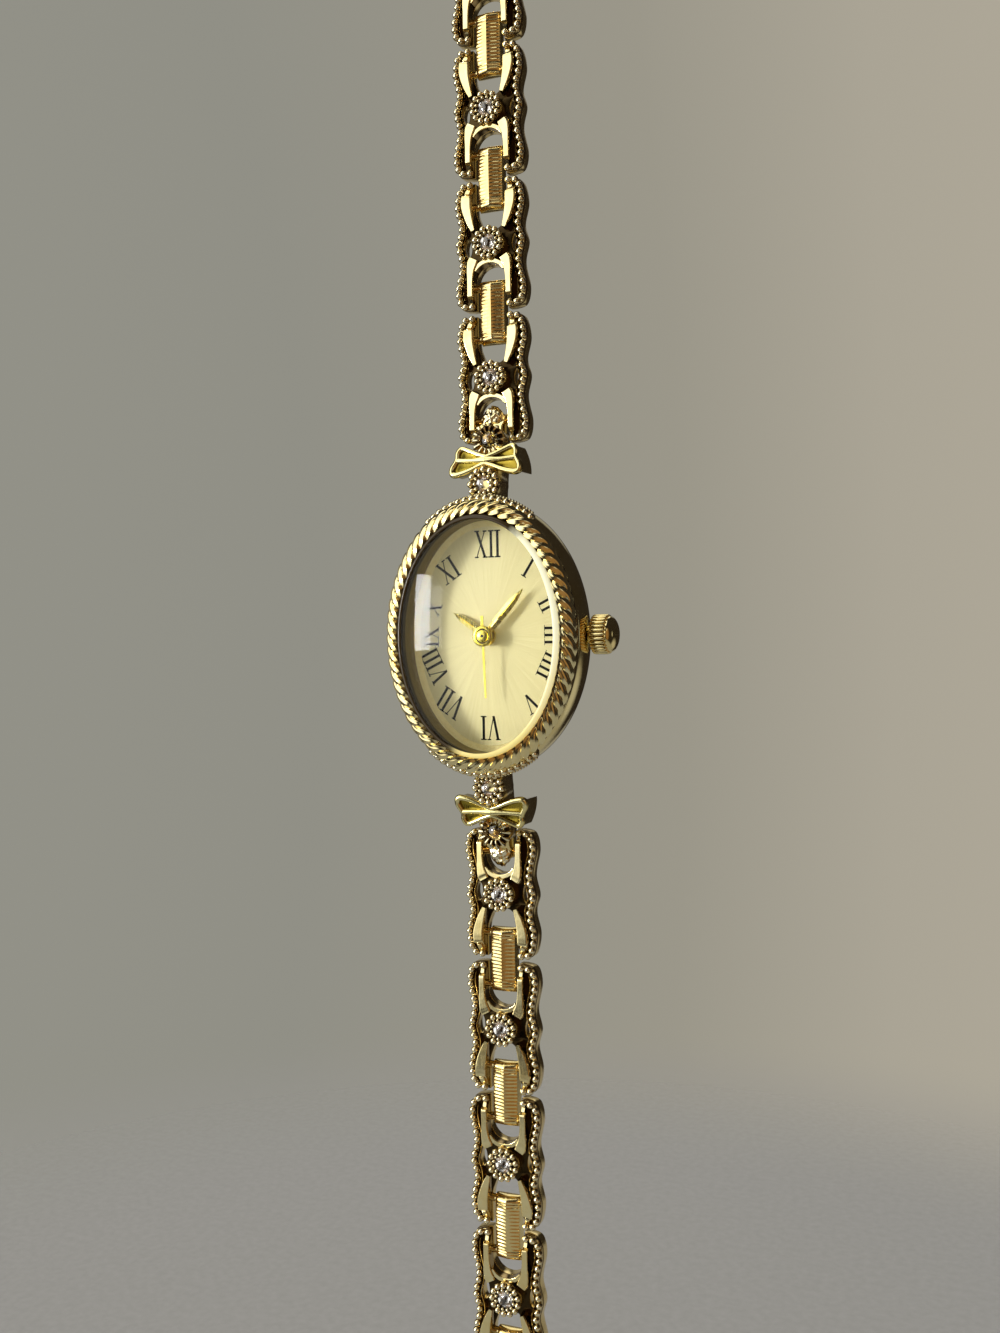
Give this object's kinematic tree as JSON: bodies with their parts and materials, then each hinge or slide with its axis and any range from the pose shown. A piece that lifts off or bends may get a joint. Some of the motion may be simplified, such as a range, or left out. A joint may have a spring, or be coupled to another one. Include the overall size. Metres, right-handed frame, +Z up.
{
  "type": "oval dress watch with bracelet",
  "caption": "Small oval gold dress watch hanging by its clasp ladder, with rope bezel, domed crystal, bow lugs and openwork jewelled bracelet links on folded connectors.",
  "frame": {"origin": "upper edge of the ladder's last slot, where a peg carries the hanging watch, in the middle of the ladder's thickness", "axes": "+Z up along the hanging bracelet, towards 12 o'clock; the dial faces -Y; the crown points to +X"},
  "size_m": [0.0207, 0.0076, 0.174],
  "materials": {
    "gold_plate": "polished yellow gold plating",
    "stone": "clear cut stone",
    "crystal": "clear mineral glass, polished",
    "dial": "champagne sunray dial with printed numerals",
    "steel": "fine brushed stainless steel",
    "rubber": "black seal rubber",
    "holder": "white moulded plastic",
    "movement_brass": "fine machined brass",
    "circuit": "green circuit laminate",
    "coil": "varnished copper wire",
    "battery": "nickel plated steel"
  },
  "bodies": {
    "ladder": {"clasp_ladder": "gold_plate"},
    "upper_connector_4": {"upper_connector_4": "gold_plate"},
    "upper_link_4": {"upper_link_4": "gold_plate", "upper_stone_4": "stone"},
    "upper_connector_3": {"upper_connector_3": "gold_plate"},
    "upper_link_3": {"upper_link_3": "gold_plate", "upper_stone_3": "stone"},
    "upper_connector_2": {"upper_connector_2": "gold_plate"},
    "upper_link_2": {"upper_link_2": "gold_plate", "upper_stone_2": "stone"},
    "upper_connector_1": {"upper_connector_1": "gold_plate"},
    "upper_link_1": {"upper_link_1": "gold_plate", "upper_stone_1": "stone"},
    "case": {"case_middle": "gold_plate", "bezel": "gold_plate", "crystal": "crystal", "crystal_gasket": "holder", "dial_ring": "gold_plate", "dial": "dial", "case_back": "steel", "back_gasket": "rubber", "crown_tube": "gold_plate", "movement_holder": "holder", "main_plate": "movement_brass", "train_bridge": "steel", "battery": "battery", "circuit_board": "circuit", "stator": "steel", "coil": "coil", "upper_lug": "gold_plate", "lower_lug": "gold_plate", "lug_stones": "stone"},
    "lower_link_1": {"lower_link_1": "gold_plate", "lower_stone_1": "stone"},
    "lower_connector_1": {"lower_connector_1": "gold_plate"},
    "lower_link_2": {"lower_link_2": "gold_plate", "lower_stone_2": "stone"},
    "lower_connector_2": {"lower_connector_2": "gold_plate"},
    "lower_link_3": {"lower_link_3": "gold_plate", "lower_stone_3": "stone"},
    "lower_connector_3": {"lower_connector_3": "gold_plate"},
    "lower_link_4": {"lower_link_4": "gold_plate", "lower_stone_4": "stone"},
    "lower_connector_4": {"lower_connector_4": "gold_plate"},
    "clasp": {"clasp_base": "gold_plate", "clasp_pin": "steel"},
    "clasp_cover": {"clasp_cover": "gold_plate"},
    "clutch": {"sliding_pinion": "steel"},
    "crown": {"crown": "gold_plate", "stem": "steel"},
    "seconds": {"seconds_wheel": "movement_brass", "second_hand": "gold_plate"},
    "minutes": {"centre_wheel": "movement_brass", "minute_hand": "gold_plate"},
    "hours": {"hour_wheel": "movement_brass", "hour_hand": "gold_plate"},
    "third_wheel": {"third_wheel": "movement_brass"},
    "minute_wheel": {"minute_wheel": "movement_brass"},
    "intermediate_wheel": {"intermediate_wheel": "movement_brass"},
    "rotor": {"rotor": "steel"}
  },
  "joints": [
    {"name": "upper_connector_4_hinge", "type": "hinge", "parent": "ladder", "child": "upper_connector_4", "pos_m": [0, -0.0001, -0.0205], "axis": [1, 0, 0], "range_deg": [-10, 22]},
    {"name": "upper_link_4_hinge", "type": "hinge", "parent": "upper_connector_4", "child": "upper_link_4", "pos_m": [0, -0.0001, -0.0252], "axis": [1, 0, 0], "range_deg": [-10, 22]},
    {"name": "upper_connector_3_hinge", "type": "hinge", "parent": "upper_link_4", "child": "upper_connector_3", "pos_m": [0, -0.0001, -0.0327], "axis": [1, 0, 0], "range_deg": [-10, 22]},
    {"name": "upper_link_3_hinge", "type": "hinge", "parent": "upper_connector_3", "child": "upper_link_3", "pos_m": [0, -0.0001, -0.0374], "axis": [1, 0, 0], "range_deg": [-10, 22]},
    {"name": "upper_connector_2_hinge", "type": "hinge", "parent": "upper_link_3", "child": "upper_connector_2", "pos_m": [0, -0.0001, -0.0449], "axis": [1, 0, 0], "range_deg": [-10, 22]},
    {"name": "upper_link_2_hinge", "type": "hinge", "parent": "upper_connector_2", "child": "upper_link_2", "pos_m": [0, -0.0001, -0.0496], "axis": [1, 0, 0], "range_deg": [-10, 22]},
    {"name": "upper_connector_1_hinge", "type": "hinge", "parent": "upper_link_2", "child": "upper_connector_1", "pos_m": [0, -0.0001, -0.0571], "axis": [1, 0, 0], "range_deg": [-10, 22]},
    {"name": "upper_link_1_hinge", "type": "hinge", "parent": "upper_connector_1", "child": "upper_link_1", "pos_m": [0, -0.0001, -0.0618], "axis": [1, 0, 0], "range_deg": [-10, 22]},
    {"name": "case_hinge", "type": "hinge", "parent": "upper_link_1", "child": "case", "pos_m": [0, -0.0001, -0.0693], "axis": [1, 0, 0], "range_deg": [-10, 22]},
    {"name": "lower_link_1_hinge", "type": "hinge", "parent": "case", "child": "lower_link_1", "pos_m": [0, -0.0001, -0.1086], "axis": [-1, 0, 0], "range_deg": [-22, 10]},
    {"name": "lower_connector_1_hinge", "type": "hinge", "parent": "lower_link_1", "child": "lower_connector_1", "pos_m": [0, -0.0001, -0.1161], "axis": [-1, 0, 0], "range_deg": [-22, 10]},
    {"name": "lower_link_2_hinge", "type": "hinge", "parent": "lower_connector_1", "child": "lower_link_2", "pos_m": [0, -0.0001, -0.1208], "axis": [-1, 0, 0], "range_deg": [-22, 10]},
    {"name": "lower_connector_2_hinge", "type": "hinge", "parent": "lower_link_2", "child": "lower_connector_2", "pos_m": [0, -0.0001, -0.1283], "axis": [-1, 0, 0], "range_deg": [-22, 10]},
    {"name": "lower_link_3_hinge", "type": "hinge", "parent": "lower_connector_2", "child": "lower_link_3", "pos_m": [0, -0.0001, -0.133], "axis": [-1, 0, 0], "range_deg": [-22, 10]},
    {"name": "lower_connector_3_hinge", "type": "hinge", "parent": "lower_link_3", "child": "lower_connector_3", "pos_m": [0, -0.0001, -0.1405], "axis": [-1, 0, 0], "range_deg": [-22, 10]},
    {"name": "lower_link_4_hinge", "type": "hinge", "parent": "lower_connector_3", "child": "lower_link_4", "pos_m": [0, -0.0001, -0.1452], "axis": [-1, 0, 0], "range_deg": [-22, 10]},
    {"name": "lower_connector_4_hinge", "type": "hinge", "parent": "lower_link_4", "child": "lower_connector_4", "pos_m": [0, -0.0001, -0.1527], "axis": [-1, 0, 0], "range_deg": [-22, 10]},
    {"name": "clasp_hinge", "type": "hinge", "parent": "lower_connector_4", "child": "clasp", "pos_m": [0, -0.0001, -0.1574], "axis": [-1, 0, 0], "range_deg": [-22, 10]},
    {"name": "clasp_cover_hinge", "type": "hinge", "parent": "clasp", "child": "clasp_cover", "pos_m": [0, -0.00085, -0.1718], "axis": [1, 0, 0], "range_deg": [0, 95]},
    {"name": "crown_turn", "type": "hinge", "parent": "case", "child": "clutch", "pos_m": [0, -0.00103, -0.08895], "axis": [1, 0, 0], "continuous": true},
    {"name": "crown_pull", "type": "slide", "parent": "clutch", "child": "crown", "axis": [1, 0, 0], "range_m": [0, 0.0009]},
    {"name": "hands_turn", "type": "hinge", "parent": "case", "child": "seconds", "pos_m": [0, -0.00103, -0.08895], "axis": [0, 1, 0], "continuous": true},
    {"name": "minute_hand_turn", "type": "hinge", "parent": "case", "child": "minutes", "pos_m": [0, -0.00103, -0.08895], "axis": [0, 1, 0], "continuous": true},
    {"name": "hour_hand_turn", "type": "hinge", "parent": "case", "child": "hours", "pos_m": [0, -0.00103, -0.08895], "axis": [0, 1, 0], "continuous": true},
    {"name": "third_wheel_turn", "type": "hinge", "parent": "case", "child": "third_wheel", "pos_m": [-0.00235, -0.00103, -0.08832], "axis": [0, 1, 0], "continuous": true},
    {"name": "minute_wheel_turn", "type": "hinge", "parent": "case", "child": "minute_wheel", "pos_m": [0.00177, -0.00103, -0.09019], "axis": [0, 1, 0], "continuous": true},
    {"name": "intermediate_wheel_turn", "type": "hinge", "parent": "case", "child": "intermediate_wheel", "pos_m": [0, -0.00103, -0.09085], "axis": [0, 1, 0], "continuous": true},
    {"name": "rotor_turn", "type": "hinge", "parent": "case", "child": "rotor", "pos_m": [-0.00115, -0.00103, -0.09199], "axis": [0, 1, 0], "continuous": true}
  ],
  "couplings": [
    {"joint": "minute_hand_turn", "follows": "hands_turn", "ratio": 0.016667},
    {"joint": "hour_hand_turn", "follows": "hands_turn", "ratio": 0.0013889},
    {"joint": "third_wheel_turn", "follows": "hands_turn", "ratio": -0.125},
    {"joint": "minute_wheel_turn", "follows": "hands_turn", "ratio": -0.0055556},
    {"joint": "intermediate_wheel_turn", "follows": "hands_turn", "ratio": -6},
    {"joint": "rotor_turn", "follows": "hands_turn", "ratio": 30}
  ]
}
